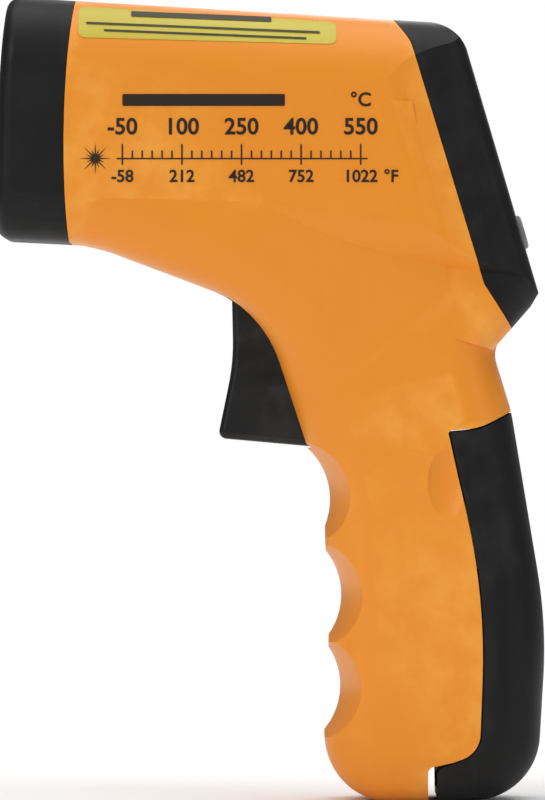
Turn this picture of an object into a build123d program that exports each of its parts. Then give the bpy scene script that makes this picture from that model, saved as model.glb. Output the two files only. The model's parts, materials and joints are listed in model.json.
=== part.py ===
from build123d import *
import math
import os

# Pistol-grip infrared thermometer, in millimetres.
# The nose points along -X, +Z is up and Y is the thickness, with the two half shells meeting at Y = 0.
# The origin is the centre of the flat base of the grip.

# ---- overall form --------------------------------------------------------------------------------
GRIP_LENGTH = 92.0          # base of the grip up to the corner under the barrel
NOSE_REACH = 76.9           # how far the nose stands ahead of the grip's centre
BARREL_WIDTH = 43.0
GRIP_WIDTH = 35.0
WALL = 2.2                  # skin of every moulded cover
SHOULDER_RADIUS = 13.0      # long upper edges of the barrel
EDGE_RADIUS = 9.0           # long lower edges of the barrel and all edges of the grip
NOSE_EDGE_RADIUS = 2.5
PANEL_TILT = 16.4           # lean of the display panel, degrees
PANEL_WIDTH = 34.4          # width of the display panel across its rear corners
PANEL_DISTANCE = 49.4       # display panel's distance from the origin along its own normal
PANEL_CORNER = 4.0
BEVEL_LENGTH = 15.4         # how far ahead of the display panel the barrel begins to narrow
BEVEL_RADIUS = 14.0
FLARE_ANGLE = 42.0          # direction of the line along which the grip widens into the barrel
FLARE_LENGTH = 28.0
FLARE_RADIUS = 60.0
FLANK_STEP = 0.1            # extra skin thickness on the flared sides

# heights of the barrel above the grip's upper corner, at its nose, above the trigger and at its rear
NOSE_BOTTOM, NOSE_TOP = 12.9, 58.1
MIDDLE_X, MIDDLE_BOTTOM = -27.0, 10.4
REAR_X, REAR_BOTTOM = 30.0, 3.0
TOP_SLOPE = 0.0595          # fall of the barrel's top towards the rear
HEAD_CORNER_RADIUS = 9.0    # rounding between the barrel's top and the display panel
HEAD_CORNER_STEP = 0.04     # stands its ends off the faces, which it then meets in fine creases
FOOT_FRONT = (15.2, GRIP_LENGTH - 7.8)      # underside of the display housing, from the neck
FOOT_REAR = (22.2, GRIP_LENGTH + 0.25)      # to its lower rear corner
FOOT_HEEL = (24.4, GRIP_LENGTH + 4.2)
FOOT_EDGE_RADIUS = 6.0      # edges along that underside

# ---- finger notches and thumb dimples ------------------------------------------------------------
NOTCHES = ((21.5, -13.1), (38.5, -12.9), (56.3, -15.0))     # height of each and its deepest x
NOTCH_DEPTH = 2.5
NOTCH_RADIUS = 13.0
NOTCH_WRAP = 40.0           # radius with which a notch wraps round the front of the grip
DIMPLE_X, DIMPLE_Z = 6.7, 59.5
DIMPLE_HALF_LENGTH, DIMPLE_HALF_WIDTH, DIMPLE_DEPTH = 7.8, 4.6, 1.3

# ---- fits ----------------------------------------------------------------------------------------
SEAM = 0.12                 # between covers that are screwed or clipped together
DOOR_GAP = 0.3              # round the battery door
FIT = 0.1                   # small parts in their seats
SLIDE_FIT = 0.15            # moving parts in their holes, each side
PIN_FIT = 0.05              # pins in their bores, radial
OVER = 1.0                  # how far cutters run past a face

# ---- housing screws ------------------------------------------------------------------------------
SCREW_DIAMETER = 2.6
SCREW_HEAD_DIAMETER = 5.0
SCREW_HEAD_HEIGHT = 1.9
SCREW_REACH = 9.0           # thread depth in the left shell
SCREW_SEAT_Y = 9.0          # underside of each head, right of the parting plane
SCREW_CLEARANCE = 0.15
BOSS_WALL = 1.7
SCREW_PLACES = (
    (-50.0, GRIP_LENGTH + 16.0),
    (-12.0, GRIP_LENGTH + 45.0),
    (6.0, GRIP_LENGTH - 8.0),
    (-7.3, 58.0),
    (-6.3, 14.0),
)

# ---- battery and its compartment -----------------------------------------------------------------
BATTERY_THICKNESS, BATTERY_WIDTH, BATTERY_HEIGHT = 17.5, 26.5, 45.0
BATTERY_TILT = 5.0
BATTERY_FLOOR = 11.0        # height of the middle of the battery's lower end
BATTERY_FRONT = 2.7         # battery's front face at that height
BATTERY_EDGE_RADIUS = 2.5
BATTERY_FIT = 0.3
SNAP_HEIGHT = 5.0
TERMINAL_HEIGHT = 3.2
TERMINAL_PITCH = 12.7
LEAD_X, LEAD_Y = 1.0, 3.0   # where the battery leads pass through the compartment's ceiling
PARTITION = 2.0             # wall between the battery and the front of the grip
DOOR_FRONT = 4.9            # front edge of the door's toe
TOE_GAP = 1.7               # open slot ahead of the toe, in which it swings
TOE_HEIGHT = 6.7
DOOR_TOP = 69.2
HINGE_X, HINGE_Z = 7.6, 4.2
HINGE_PIN_RADIUS = 1.0
HINGE_PIN_LENGTH = 25.0
KNUCKLE_RADIUS = 2.3
LUG_RADIUS = 2.1
LUG_Y, LUG_THICKNESS = 9.0, 3.0

# ---- trigger -------------------------------------------------------------------------------------
TRIGGER_WIDTH = 16.0
TRIGGER_WALL = 1.8
TRIGGER_EDGE_RADIUS = 1.2
TRIGGER_PIVOT_X, TRIGGER_PIVOT_RISE = -27.0, 5.0
TRIGGER_DROP = 24.2         # trigger's lower corner below the grip's upper corner
TRIGGER_PIN_RADIUS = 1.25
TRIGGER_PIN_LENGTH = 27.0
TRIGGER_BOSS_RADIUS = 3.2
SLOT_GAP = 0.4
SPUR_X, SPUR_DROP, SPUR_HEIGHT = -14.6, 5.0, 3.0
SPRING_WIRE, SPRING_RADIUS, SPRING_TURNS = 0.5, 2.6, 7
SPRING_DROP, SPRING_START, SPRING_END = 17.5, -31.2, -7.5
SPRING_Y = 2.5

# ---- optics and laser ----------------------------------------------------------------------------
OPTIC_RISE = 29.5           # optical axis above the grip's upper corner
LASER_RISE = 49.3           # laser axis above the grip's upper corner
CAP_DEPTH = 13.2            # length of the black nose cap along its sides
CAP_BOW = 1.6
SKIRT_LENGTH, SKIRT_WALL = 4.0, 1.2
CONE_MOUTH_RADIUS = 12.5
CONE_DEPTH = 13.0
CONE_WALL = 1.6
LENS_DIAMETER = 12.0
LENS_THICKNESS = 2.4
LENS_LIP = 0.8
RING_THICKNESS = 2.0
OPTIC_TUBE_LENGTH = 24.0
OPTIC_TUBE_WALL = 2.6
SENSOR_DIAMETER = 9.2
SENSOR_LENGTH = 4.5
LASER_DIAMETER = 6.5
LASER_START, LASER_LENGTH = 4.6, 18.0
LASER_BORE_RADIUS = 2.2
WINDOW_RADIUS, WINDOW_THICKNESS, WINDOW_DEPTH = 3.5, 1.0, 2.3
HOLDER_LENGTH, HOLDER_WALL = 6.0, 1.6
CRADLE_DEPTH, CRADLE_THICKNESS = 30.0, 1.8

# ---- display panel, measured across it, up it and out of it ----------------------------------------
DISPLAY_RISE = 8.3          # centre of the display above the panel's centre
WINDOW_WIDTH, WINDOW_HEIGHT = 26.0, 23.0
WINDOW_LEDGE = 1.5
LCD_WINDOW_THICKNESS = 1.2
LCD_GAP = 1.0
LCD_WIDTH, LCD_HEIGHT, LCD_THICKNESS = 26.0, 23.4, 2.6
LCD_FRAME_WALL = 1.2
BACKLIGHT_INSET = 3.0
BOARD_THICKNESS = 1.6
BOARD_DEPTH = 9.2           # display board's front face behind the panel's outer face
BOARD_WIDTH, BOARD_HEIGHT = 27.6, 39.0
POST_INSET = 2.6
BUTTON_DROP = 14.0          # row of buttons below the panel's centre
BUTTON_PITCH = 8.6
BUTTON_RADIUS = 3.2
BUTTON_PROUD = 0.9
BUTTON_FLANGE = 0.9
BUTTON_TRAVEL = 0.6
SWITCH_SIDE, SWITCH_HEIGHT = 6.0, 3.4
PLUNGER_RADIUS = 1.6
PLUNGER_GAP = 0.1

# ---- main board ----------------------------------------------------------------------------------
MAIN_BOARD_Y = -8.0         # component side of the main board
MAIN_BOARD_FRONT, MAIN_BOARD_REAR = -34.0, -2.0
MAIN_BOARD_LOW, MAIN_BOARD_HIGH = 10.0, 41.0
TAB_FRONT, TAB_REAR, TAB_LOW = -12.0, 0.0, -8.5
BOARD_SCREW_RADIUS = 1.0
BOARD_SCREW_HEAD = 2.0
BOARD_SCREW_PLACES = (
    (-31.0, GRIP_LENGTH + 38.0),
    (-5.0, GRIP_LENGTH + 38.0),
    (-5.0, GRIP_LENGTH + 13.0),
)
WIRE_RADIUS = 0.6

LARGE = 300.0
TRIGGER_PIVOT_Z = GRIP_LENGTH + TRIGGER_PIVOT_RISE
TRIGGER_LOW = GRIP_LENGTH - TRIGGER_DROP
OPTIC_Z = GRIP_LENGTH + OPTIC_RISE
LASER_Z = GRIP_LENGTH + LASER_RISE
LENS_SEAT = CONE_DEPTH + LENS_LIP


def tilted(angle, x, z):
    """Frame on the X-Z plane: local x is +Y, local z is +X turned up by the angle, local y is upward."""
    a = math.radians(angle)
    return Plane(origin=(x, 0, z), x_dir=(0, 1, 0), z_dir=(math.cos(a), 0, math.sin(a)))


PANEL_NORMAL = (math.cos(math.radians(PANEL_TILT)), math.sin(math.radians(PANEL_TILT)))
PANEL_MIDDLE_Z = GRIP_LENGTH + 27.5
PANEL_MIDDLE_X = (PANEL_DISTANCE - PANEL_MIDDLE_Z * PANEL_NORMAL[1]) / PANEL_NORMAL[0]
PANEL = tilted(PANEL_TILT, PANEL_MIDDLE_X, PANEL_MIDDLE_Z)
OPTIC = Plane(origin=(-NOSE_REACH, 0, OPTIC_Z), x_dir=(0, 1, 0), z_dir=(1, 0, 0))
LASER = Plane(origin=(-NOSE_REACH, 0, LASER_Z), x_dir=(0, 1, 0), z_dir=(1, 0, 0))
BATTERY = tilted(BATTERY_TILT, BATTERY_FRONT + BATTERY_THICKNESS / 2, BATTERY_FLOOR)


# ---- drawing helpers -----------------------------------------------------------------------------
def outline(*corners):
    """Closed face through (x, y, radius) corners; a radius of 0 leaves a corner sharp."""
    points = [(x, y) for x, y, radius in corners]
    return make_face(FilletPolyline(*points, radius=[radius for x, y, radius in corners], close=True))


def inset(face, amount):
    return offset(face, -amount, kind=Kind.INTERSECTION) if amount else face


def slab(face, width):
    """Side-view face (x, z) made solid, centred on Y = 0."""
    return extrude(Plane.XZ * face, width / 2, both=True)


def slab_between(face, y_low, y_high):
    return extrude(Plane.XZ.offset(-y_high) * face, y_high - y_low)


def rod_y(x, z, radius, y_low, y_high):
    length = y_high - y_low
    return Pos(x, (y_low + y_high) / 2, z) * Rot(90, 0, 0) * Cylinder(radius, length)


def disc(frame, start, end, radius, bore=0.0):
    """Round part between two depths along a frame's axis, with an optional bore."""
    middle = Pos(0, 0, (start + end) / 2)
    solid = frame * middle * Cylinder(radius, end - start)
    if bore:
        solid -= frame * middle * Cylinder(bore, end - start + 2 * OVER)
    return solid


def block(frame, x, y, low, high, width, height, radius=0.0):
    """Upright block on a frame: centre (x, y), between two levels of the frame's axis."""
    face = RectangleRounded(width, height, radius) if radius else Rectangle(width, height)
    return extrude(frame * Pos(x, y, low) * face, high - low)


def side_of(sign, gap=0.0):
    """Everything on one side of the parting plane, sign -1 for the left and +1 for the right."""
    return Pos(0, sign * (gap + LARGE / 2), 0) * Box(2 * LARGE, LARGE, 2 * LARGE)


# ---- outer form, drawn at any depth below the surface --------------------------------------------
def barrel_top(x):
    """Height of the barrel's top above the grip's upper corner."""
    return NOSE_TOP - TOP_SLOPE * (x + NOSE_REACH)


def panel_x(z, depth=0.0):
    """Where the display panel is at a height, seen from the side."""
    return (PANEL_DISTANCE - depth - z * PANEL_NORMAL[1]) / PANEL_NORMAL[0]


def barrel(depth):
    """Rounded tube along X, cut by the bowed nose and the tilted, bevelled rear."""
    width = BARREL_WIDTH - 2 * depth

    def section(x, bottom, top):
        corners = (
            (-width / 2, GRIP_LENGTH + bottom + depth, EDGE_RADIUS - depth),
            (width / 2, GRIP_LENGTH + bottom + depth, EDGE_RADIUS - depth),
            (width / 2, GRIP_LENGTH + top - depth, SHOULDER_RADIUS - depth),
            (-width / 2, GRIP_LENGTH + top - depth, SHOULDER_RADIUS - depth),
        )
        return Plane.YZ.offset(x) * outline(*corners)

    front_x = -NOSE_REACH - OVER
    front = section(front_x, NOSE_BOTTOM, barrel_top(front_x))
    middle = section(MIDDLE_X, MIDDLE_BOTTOM, barrel_top(MIDDLE_X))
    rear = section(REAR_X, REAR_BOTTOM, barrel_top(REAR_X))
    tube = loft([front, middle], ruled=True) + loft([middle, rear], ruled=True)
    nose = ThreePointArc(
        (-NOSE_REACH + 2.5 + depth, GRIP_LENGTH + 63.0),
        (-NOSE_REACH + depth, GRIP_LENGTH + 27.0),
        (-NOSE_REACH + 1.5 + depth, GRIP_LENGTH - 12.0),
    )
    back = Polyline(nose @ 1, (REAR_X, GRIP_LENGTH - 12.0), (REAR_X, GRIP_LENGTH + 63.0), nose @ 0)
    tube &= slab(make_face(Curve() + [nose, back]), 2 * LARGE) & panel_prism(depth)
    return tube - head_corner(depth)


def head_corner(depth):
    """What the rounding takes off between the barrel's top and the display panel."""
    level = depth - HEAD_CORNER_STEP
    front_z = GRIP_LENGTH + barrel_top(MIDDLE_X) - level
    rear_z = GRIP_LENGTH + barrel_top(REAR_X) - level
    low_z = GRIP_LENGTH + MIDDLE_BOTTOM
    low_x = panel_x(low_z, level)
    steep = (panel_x(rear_z, level) - low_x) / (rear_z - low_z)
    fall = (rear_z - front_z) / (REAR_X - MIDDLE_X)
    corner_x = (low_x + steep * (front_z - fall * MIDDLE_X - low_z)) / (1 - steep * fall)
    corner_z = front_z + fall * (corner_x - MIDDLE_X)
    corner = (corner_x, corner_z)
    rounded = outline((MIDDLE_X, front_z, 0), (*corner, HEAD_CORNER_RADIUS - depth), (low_x, low_z, 0))
    sharp = outline((MIDDLE_X, front_z, 0), (*corner, 0), (low_x, low_z, 0))
    return slab(sharp - rounded, LARGE)


def panel_prism(depth):
    """Plan of the head, extruded along the slope of the display panel."""
    side = BARREL_WIDTH / 2 - depth
    rear = PANEL_DISTANCE - depth
    corner = PANEL_WIDTH / 2 - depth
    bend = PANEL_DISTANCE - BEVEL_LENGTH
    plan = outline(
        (-LARGE, -side, 0),
        (bend, -side, BEVEL_RADIUS - depth),
        (rear, -corner, PANEL_CORNER - depth),
        (rear, corner, PANEL_CORNER - depth),
        (bend, side, BEVEL_RADIUS - depth),
        (-LARGE, side, 0),
    )
    c, s = PANEL_NORMAL
    return extrude(Plane(origin=(0, 0, 0), x_dir=(c, 0, s), z_dir=(-s, 0, c)) * plan, LARGE, both=True)


def head_foot(depth):
    """Lower end of the display housing, which overhangs the neck of the grip."""
    face = outline(
        (-8.0, GRIP_LENGTH + 20.0, 0),
        (2.0, GRIP_LENGTH - 4.0, 0),
        (*FOOT_FRONT, 0),
        (*FOOT_REAR, 2.0),
        (*FOOT_HEEL, 0),
        (16.0, GRIP_LENGTH + 29.0, 0),
    )
    return slab(inset(face, depth), GRIP_WIDTH - 2 * depth) & panel_prism(depth) & foot_prism(depth)


def foot_prism(depth):
    """Cross-section of the display housing's lower end, extruded along its sloping underside."""
    side = GRIP_WIDTH / 2 - depth
    profile = outline(
        (-side, LARGE, 0),
        (-side, depth, FOOT_EDGE_RADIUS - depth),
        (side, depth, FOOT_EDGE_RADIUS - depth),
        (side, LARGE, 0),
    )
    a = math.atan2(FOOT_REAR[1] - FOOT_FRONT[1], FOOT_REAR[0] - FOOT_FRONT[0])
    frame = Plane(
        origin=(FOOT_FRONT[0], 0, FOOT_FRONT[1]),
        x_dir=(0, 1, 0),
        z_dir=(math.cos(a), 0, math.sin(a)),
    )
    return extrude(frame * profile, LARGE, both=True)


def grip_face(depth):
    """Side view of the grip, without its finger notches."""
    clear = NOTCH_DEPTH if depth else 0.0   # an inner face keeps its wall behind the notches
    face = outline(
        (-68.0, GRIP_LENGTH + 13.4, 0),
        (-57.5, GRIP_LENGTH + 11.2, 30),
        (-27.8, GRIP_LENGTH, 22),
        (-19.3 + clear, GRIP_LENGTH - 25.8, 20),
        (-16.0 + clear, 53.0, 20),
        (-15.2 + clear, 30.0, 40),
        (-16.7 + clear, 0, 12.5),
        (DOOR_FRONT - TOE_GAP, 0, 0),
        (23.4, 0.8, 12.5),
        (25.3, 33.0, 90),
        (18.7, GRIP_LENGTH - 19.2, 20),
        (*FOOT_FRONT, 5),
        (18.4, GRIP_LENGTH - 3.4, 0),
        (8.0, GRIP_LENGTH, 0),
        (0.0, GRIP_LENGTH + 38.0, 0),
        (-30.0, GRIP_LENGTH + 43.0, 0),
        (-68.0, GRIP_LENGTH + 38.0, 0),
    )
    return inset(face, depth)


def flank_prism(depth):
    """Flat sides of the grip, flaring out to the barrel's width towards the nose."""
    narrow = GRIP_WIDTH / 2 - depth
    wide = BARREL_WIDTH / 2 - depth - (FLANK_STEP if depth else 0.0)
    profile = outline(
        (-LARGE / 2, -narrow, 0),
        (0, -narrow, FLARE_RADIUS),
        (FLARE_LENGTH, -wide, FLARE_RADIUS),
        (LARGE / 2, -wide, 0),
        (LARGE / 2, wide, 0),
        (FLARE_LENGTH, wide, FLARE_RADIUS),
        (0, narrow, FLARE_RADIUS),
        (-LARGE / 2, narrow, 0),
    )
    a = math.radians(FLARE_ANGLE)
    frame = Plane(
        origin=(5.0, 0, GRIP_LENGTH + 5.6),
        x_dir=(-math.sin(a), 0, math.cos(a)),
        z_dir=(math.cos(a), 0, math.sin(a)),
    )
    return extrude(frame * profile, LARGE, both=True)


def grip(depth):
    solid = slab(grip_face(depth), 2 * BARREL_WIDTH) & flank_prism(depth)
    half = GRIP_WIDTH / 2 - depth
    seeds = [solid.edges().sort_by_distance((0, side * half, depth))[0] for side in (-1, 1)]
    return fillet(seeds, EDGE_RADIUS - depth)


def form(depth):
    """The whole outer form, or the same form a given depth below its surface."""
    return barrel(depth) + grip(depth) + head_foot(depth)


def notch(height, deepest):
    """Finger notch: a ring that bites into the front of the grip."""
    return Pos(deepest + NOTCH_WRAP, 0, height) * Torus(NOTCH_WRAP + NOTCH_RADIUS, NOTCH_RADIUS)


def dimple(side):
    """Thumb dimple beside the battery door."""
    reach = 3.0
    ball = Solid.make_sphere(1.0).scale(1.0)
    stretched = scale(ball, by=(DIMPLE_HALF_WIDTH, reach, DIMPLE_HALF_LENGTH))
    return Pos(DIMPLE_X, side * (GRIP_WIDTH / 2 + reach - DIMPLE_DEPTH), DIMPLE_Z) * stretched


def outer_form():
    solid = form(0.0)
    nose = solid.faces().sort_by(Axis.X)[0]
    solid = fillet(nose.edges(), NOSE_EDGE_RADIUS)
    for height, deepest in NOTCHES:
        solid -= notch(height, deepest)
    for side in (-1, 1):
        solid -= dimple(side)
    return solid


# ---- parting lines, seen from the side -----------------------------------------------------------
def cap_region(shift=0.0):
    """Everything ahead of the nose cap's rear edge."""
    edge = -NOSE_REACH + CAP_DEPTH + shift
    bow = ThreePointArc(
        (edge + CAP_BOW, GRIP_LENGTH + 60.0),
        (edge - CAP_BOW / 2, GRIP_LENGTH + 29.0),
        (edge + CAP_BOW, GRIP_LENGTH),
    )
    front = -NOSE_REACH - 10.0
    rest = Polyline(bow @ 1, (front, GRIP_LENGTH), (front, GRIP_LENGTH + 60.0), bow @ 0)
    return make_face(Curve() + [bow, rest])


def bezel_region(gap=0.0):
    """Everything behind the display housing's front edge."""
    face = outline(
        (-6.0, GRIP_LENGTH + 57.5, 0),
        (-0.2, GRIP_LENGTH + 49.6, 6),
        (13.5, GRIP_LENGTH + 4.5, 1.5),
        (19.6, GRIP_LENGTH - 5.0, 0),
        (45.0, GRIP_LENGTH - 5.0, 0),
        (45.0, GRIP_LENGTH + 75.0, 0),
        (-6.0, GRIP_LENGTH + 75.0, 0),
    )
    return inset(face, gap)


def door_region(gap=0.0):
    """Everything behind and below the battery door's edge."""
    face = outline(
        (DOOR_FRONT - gap, -10.0, 0),
        (DOOR_FRONT - gap, TOE_HEIGHT, 1.8),
        (12.6, 9.5, 5),
        (13.7, 38.0, 120),
        (6.7, DOOR_TOP, 0.6),
        (12.6, DOOR_TOP + 0.5, 12),
        (21.0, DOOR_TOP + 4.8, 0),
        (45.0, DOOR_TOP + 4.8, 0),
        (45.0, -10.0, 0),
    )
    return inset(face, gap)


def door_opening():
    """Cut in the shells: the door's region with the open slot ahead of its toe."""
    front = DOOR_FRONT - TOE_GAP
    slot = outline((front, -10.0, 0), (front, TOE_HEIGHT, 1.0), (12.0, TOE_HEIGHT + 2.0, 0), (12.0, -10.0, 0))
    return door_region() + slot


def trigger_face(gap=0.0):
    """Side view of the trigger, from the finger face to the edge hidden inside the grip."""
    top = TRIGGER_PIVOT_Z + TRIGGER_BOSS_RADIUS
    left = TRIGGER_PIVOT_X - TRIGGER_BOSS_RADIUS
    right = TRIGGER_PIVOT_X + TRIGGER_BOSS_RADIUS
    face = outline(
        (-33.4, GRIP_LENGTH + 4.0, 0),
        (-33.1, GRIP_LENGTH - 10.0, 40),
        (-36.0, TRIGGER_LOW, 1.4),
        (-14.8, TRIGGER_LOW - 1.9, 0),
        (-18.0, GRIP_LENGTH - 15.0, 12),
        (-22.6, GRIP_LENGTH - 3.0, 6),
        (right, top, TRIGGER_BOSS_RADIUS - 0.2),
        (left, top, TRIGGER_BOSS_RADIUS - 0.2),
    )
    return inset(face, -gap)


def trigger_slot():
    """Opening in the front of the grip through which the trigger stands out."""
    return outline(
        (-50.0, TRIGGER_LOW + 1.0, 0),
        (-11.0, TRIGGER_LOW - 2.6, 0),
        (-15.0, GRIP_LENGTH - 12.0, 0),
        (-24.0, GRIP_LENGTH + 2.0, 0),
        (-32.6, GRIP_LENGTH + 6.6, 0),
        (-35.2, GRIP_LENGTH - 1.0, 0),
        (-50.0, GRIP_LENGTH - 12.0, 0),
    )


# ---- housing -------------------------------------------------------------------------------------
def screw_boss(x, z, sign):
    """Screw boss from the parting plane to the side wall; the right one is wider round the head."""
    reach = BARREL_WIDTH / 2
    radius = SCREW_DIAMETER / 2 + BOSS_WALL
    if sign < 0:
        return rod_y(x, z, radius, -reach, 0)
    head = SCREW_HEAD_DIAMETER / 2 + BOSS_WALL
    return rod_y(x, z, radius, 0, reach) + rod_y(x, z, head, SCREW_SEAT_Y - BOSS_WALL, reach)


def screw_hole(x, z, sign):
    """Pilot hole in the left boss, or clearance hole and head recess in the right one."""
    if sign < 0:
        return rod_y(x, z, SCREW_DIAMETER / 2, -SCREW_REACH - OVER, OVER)
    shank = rod_y(x, z, SCREW_DIAMETER / 2 + SCREW_CLEARANCE, -OVER, SCREW_SEAT_Y + OVER)
    recess = rod_y(x, z, SCREW_HEAD_DIAMETER / 2 + SCREW_CLEARANCE * 2, SCREW_SEAT_Y, BARREL_WIDTH)
    return shank + recess


def compartment_walls():
    """Partition ahead of the battery, the floor under it and the ceiling above the door."""
    foot = DOOR_FRONT - TOE_GAP
    face_x = BATTERY_FRONT - BATTERY_FIT
    lean = (DOOR_TOP - BATTERY_FLOOR) * math.tan(math.radians(BATTERY_TILT))
    floor = BATTERY_FLOOR - 1.0
    partition = outline(
        (foot - PARTITION, -OVER, 0),
        (foot, -OVER, 0),
        (foot, floor - 1.2, 0),
        (face_x, floor, 0),
        (face_x - lean, DOOR_TOP + PARTITION / 2, 0),
        (face_x - lean - PARTITION, DOOR_TOP + PARTITION / 2, 0),
        (face_x - PARTITION, floor, 0),
    )
    shelf = outline(
        (foot - PARTITION / 2, TOE_HEIGHT + 0.4, 0),
        (DOOR_FRONT, TOE_HEIGHT + 0.4, 0),
        (HINGE_X + LUG_RADIUS, TOE_HEIGHT + 2.1, 0),
        (HINGE_X + LUG_RADIUS, floor, 0),
        (foot - PARTITION / 2, floor, 0),
    )
    ceiling = outline(
        (face_x - lean - PARTITION, DOOR_TOP, 0),
        (6.7, DOOR_TOP, 0),
        (12.6, DOOR_TOP + 0.5, 12),
        (21.0, DOOR_TOP + 4.8, 0),
        (21.0, DOOR_TOP + 4.8 + PARTITION, 0),
        (12.6, DOOR_TOP + 0.5 + PARTITION, 12),
        (face_x - lean - PARTITION, DOOR_TOP + PARTITION, 0),
    )
    walls = slab(partition, GRIP_WIDTH) + slab(shelf, GRIP_WIDTH) + slab(ceiling, GRIP_WIDTH)
    for side in (-1, 1):
        walls -= Pos(LEAD_X, side * LEAD_Y, DOOR_TOP) * Cylinder(WIRE_RADIUS + 2 * FIT, 6 * PARTITION)
    return walls


def hinge_lug(sign):
    """Lug that hangs from the compartment's floor and carries the door's hinge pin."""
    low, high = sorted((sign * (LUG_Y - LUG_THICKNESS / 2), sign * (LUG_Y + LUG_THICKNESS / 2)))
    neck = outline(
        (HINGE_X - LUG_RADIUS, HINGE_Z, 0),
        (HINGE_X + LUG_RADIUS, HINGE_Z, 0),
        (HINGE_X + LUG_RADIUS, BATTERY_FLOOR - 1.5, 0),
        (HINGE_X - LUG_RADIUS, BATTERY_FLOOR - 1.5, 0),
    )
    return rod_y(HINGE_X, HINGE_Z, LUG_RADIUS, low, high) + slab_between(neck, low, high)


def pivot_boss(sign):
    """Boss that holds one end of the trigger's pin."""
    inner = TRIGGER_WIDTH / 2 + SLOT_GAP
    low, high = sorted((sign * inner, sign * BARREL_WIDTH / 2))
    return rod_y(TRIGGER_PIVOT_X, TRIGGER_PIVOT_Z, TRIGGER_BOSS_RADIUS, low, high)


def tube_cradle():
    """Rib with a half-round seat under the optical tube."""
    seat = LENS_DIAMETER / 2 + OPTIC_TUBE_WALL + FIT
    middle = CRADLE_DEPTH + CRADLE_THICKNESS / 2
    width = BARREL_WIDTH
    rib = OPTIC * Pos(0, -width / 4, middle) * Box(width, width / 2, CRADLE_THICKNESS)
    return rib - disc(OPTIC, CRADLE_DEPTH - OVER, CRADLE_DEPTH + CRADLE_THICKNESS + OVER, seat)


def spring_post():
    """Rib between the shells against which the trigger spring pushes."""
    z = GRIP_LENGTH - SPRING_DROP
    reach = SPRING_RADIUS + 3 * SPRING_WIRE
    face = Rectangle(PARTITION, 2 * reach)
    return slab(Pos(SPRING_END + PARTITION / 2, z) * face, BARREL_WIDTH)


def half_shell(skin, outer, sign):
    """One moulded half of the housing, with its bosses, ribs and walls."""
    solid = skin & side_of(sign, SEAM / 2)
    inner = compartment_walls() + tube_cradle() + spring_post()
    solid += inner & outer & side_of(sign, SEAM / 2)
    posts = pivot_boss(sign)
    for x, z in SCREW_PLACES:
        posts += screw_boss(x, z, sign)
    if sign < 0:
        for x, z in BOARD_SCREW_PLACES:
            posts += rod_y(x, z, BOARD_SCREW_HEAD + 0.4, -BARREL_WIDTH / 2, MAIN_BOARD_Y - BOARD_THICKNESS)
    solid += posts & outer
    solid += hinge_lug(sign)
    for x, z in SCREW_PLACES:
        solid -= screw_hole(x, z, sign)
    if sign < 0:
        for x, z in BOARD_SCREW_PLACES:
            solid -= rod_y(x, z, BOARD_SCREW_RADIUS, MAIN_BOARD_Y - 8.0, MAIN_BOARD_Y)
    solid -= rod_y(HINGE_X, HINGE_Z, HINGE_PIN_RADIUS + FIT / 5, -GRIP_WIDTH / 3, GRIP_WIDTH / 3)
    pin_reach = TRIGGER_PIN_LENGTH / 2 + FIT
    solid -= rod_y(TRIGGER_PIVOT_X, TRIGGER_PIVOT_Z, TRIGGER_PIN_RADIUS + FIT / 5, -pin_reach, pin_reach)
    return solid


def housing_screws():
    """Self-tapping screws, put in from the right-hand side."""
    group = []
    for x, z in SCREW_PLACES:
        shank = rod_y(x, z, SCREW_DIAMETER / 2, -SCREW_REACH, SCREW_SEAT_Y)
        head = rod_y(x, z, SCREW_HEAD_DIAMETER / 2, SCREW_SEAT_Y, SCREW_SEAT_Y + SCREW_HEAD_HEIGHT)
        screw = shank + head
        slot = Box(SCREW_HEAD_DIAMETER * 0.6, SCREW_HEAD_HEIGHT, 0.7)
        for turn in (0, 90):
            screw -= Pos(x, SCREW_SEAT_Y + SCREW_HEAD_HEIGHT, z) * Rot(0, turn, 0) * slot
        group.append(screw)
    return Compound(children=group)


# ---- nose cap, optics and laser ------------------------------------------------------------------
def lip(sleeve, liner, band, root):
    """Lip under the neighbouring shell, and the shoulder that joins it to its own cover."""
    return (sleeve & slab(band, LARGE)) + (liner & slab(root, LARGE))


def nose_cap(skin, sleeve, liner):
    solid = skin & slab(cap_region(), LARGE)
    root = cap_region() - cap_region(-SKIRT_WALL)
    band = cap_region(SKIRT_LENGTH) - cap_region(-SKIRT_WALL)
    solid += lip(sleeve, liner, band, root)
    seat_radius = LENS_DIAMETER / 2 + FIT
    end = LENS_SEAT + LENS_THICKNESS + RING_THICKNESS
    small = seat_radius - LENS_LIP - FIT
    slope = (CONE_MOUTH_RADIUS - small) / CONE_DEPTH
    start = -2 * OVER
    funnel = Cone(CONE_MOUTH_RADIUS - slope * start, small, CONE_DEPTH - start)
    shroud = Cone(CONE_MOUTH_RADIUS + CONE_WALL, small + CONE_WALL, CONE_DEPTH - WALL / 2)
    solid += OPTIC * Pos(0, 0, (CONE_DEPTH + WALL / 2) / 2) * shroud
    solid += disc(OPTIC, CONE_DEPTH - CONE_WALL, end, seat_radius + CONE_WALL)
    solid -= OPTIC * Pos(0, 0, (CONE_DEPTH + start) / 2) * funnel
    solid -= disc(OPTIC, CONE_DEPTH - OVER, end + OVER, small)
    solid -= disc(OPTIC, LENS_SEAT, end + OVER, seat_radius)
    solid -= disc(LASER, -OVER, LASER_START + OVER, LASER_BORE_RADIUS)
    solid -= disc(LASER, -OVER, WINDOW_DEPTH, WINDOW_RADIUS + FIT)
    return solid


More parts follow.
